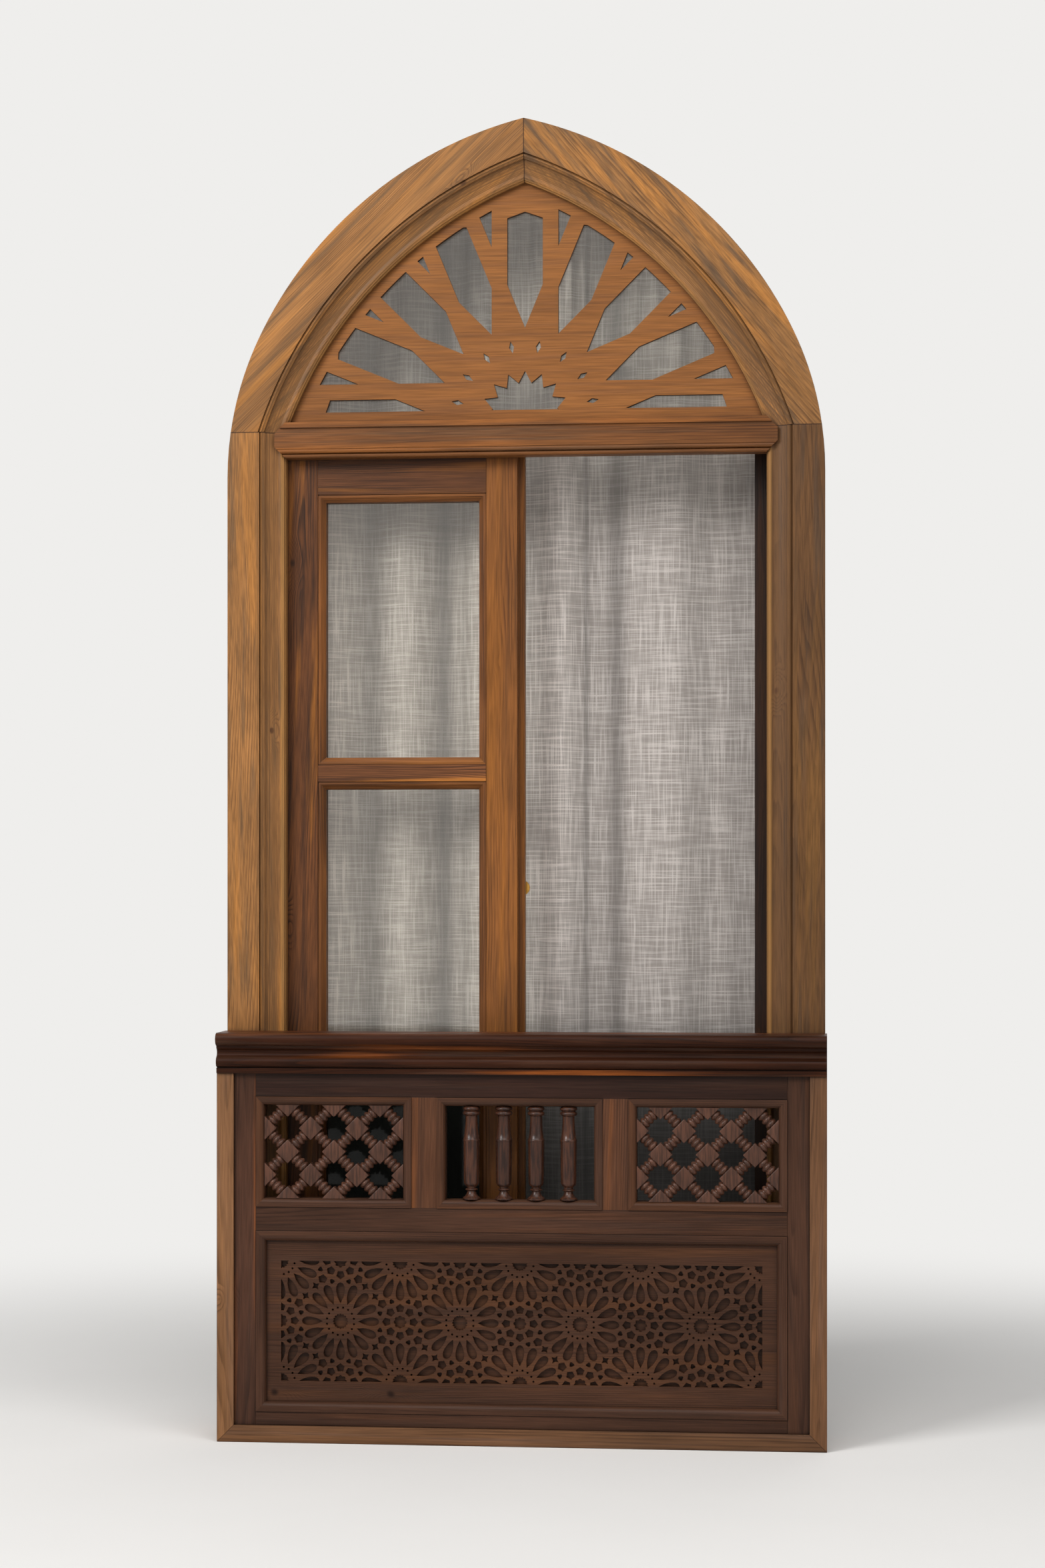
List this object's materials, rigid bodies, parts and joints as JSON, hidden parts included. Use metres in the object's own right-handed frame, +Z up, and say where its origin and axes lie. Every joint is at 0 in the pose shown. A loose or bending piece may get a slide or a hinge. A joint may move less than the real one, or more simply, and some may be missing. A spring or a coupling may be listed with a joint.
{
  "type": "arched casement window with mashrabiya screen",
  "caption": "Pointed-arch wooden casement window with a fretted fanlight, a linen curtain and a low mashrabiya screen of turned lattice, balusters and star fretwork.",
  "frame": {"origin": "underside of the window at its centre line, in the middle of the frame's depth", "axes": "+X along the wall, +Y into the room, +Z up"},
  "size_m": [0.86, 0.5275, 1.88],
  "materials": {
    "golden_pine": "golden-brown stain, satin",
    "leaf_pine": "red-brown stain, satin",
    "fret_board": "mid-brown stain, satin",
    "walnut_pine": "dark walnut stain, satin",
    "trim_pine": "light walnut stain, satin",
    "clear_glass": "clear",
    "linen": "open slubbed weave",
    "polished_brass": "polished",
    "hinge_steel": "satin"
  },
  "bodies": {
    "root": {"left_jamb": "golden_pine", "right_jamb": "golden_pine", "arch_left": "golden_pine", "arch_right": "golden_pine", "transom": "golden_pine", "sill": "golden_pine", "fanlight_stop": "golden_pine", "fanlight_screen": "fret_board", "fanlight_glass": "clear_glass", "left_panes": "clear_glass", "right_panes": "clear_glass", "left_hinge_stile": "leaf_pine", "left_meeting_stile": "leaf_pine", "left_rails": "leaf_pine", "left_beads": "leaf_pine", "right_hinge_stile": "leaf_pine", "right_meeting_stile": "leaf_pine", "right_rails": "leaf_pine", "right_beads": "leaf_pine", "knob": "polished_brass", "left_hinges": "hinge_steel", "right_hinges": "hinge_steel", "curtain_rail": "hinge_steel", "screen_left_board": "trim_pine", "screen_right_board": "trim_pine", "screen_bottom_board": "trim_pine", "screen_cap": "walnut_pine", "screen_left_stile": "walnut_pine", "screen_right_stile": "walnut_pine", "screen_bottom_rail": "walnut_pine", "screen_mid_rail": "walnut_pine", "screen_top_rail": "walnut_pine", "screen_mullions": "walnut_pine", "left_opening_bead": "walnut_pine", "middle_opening_bead": "walnut_pine", "right_opening_bead": "walnut_pine", "star_panel_bead": "walnut_pine", "left_lattice": "walnut_pine", "right_lattice": "walnut_pine", "balusters": "walnut_pine", "star_panel": "walnut_pine", "curtain": "linen"}
  },
  "joints": []
}
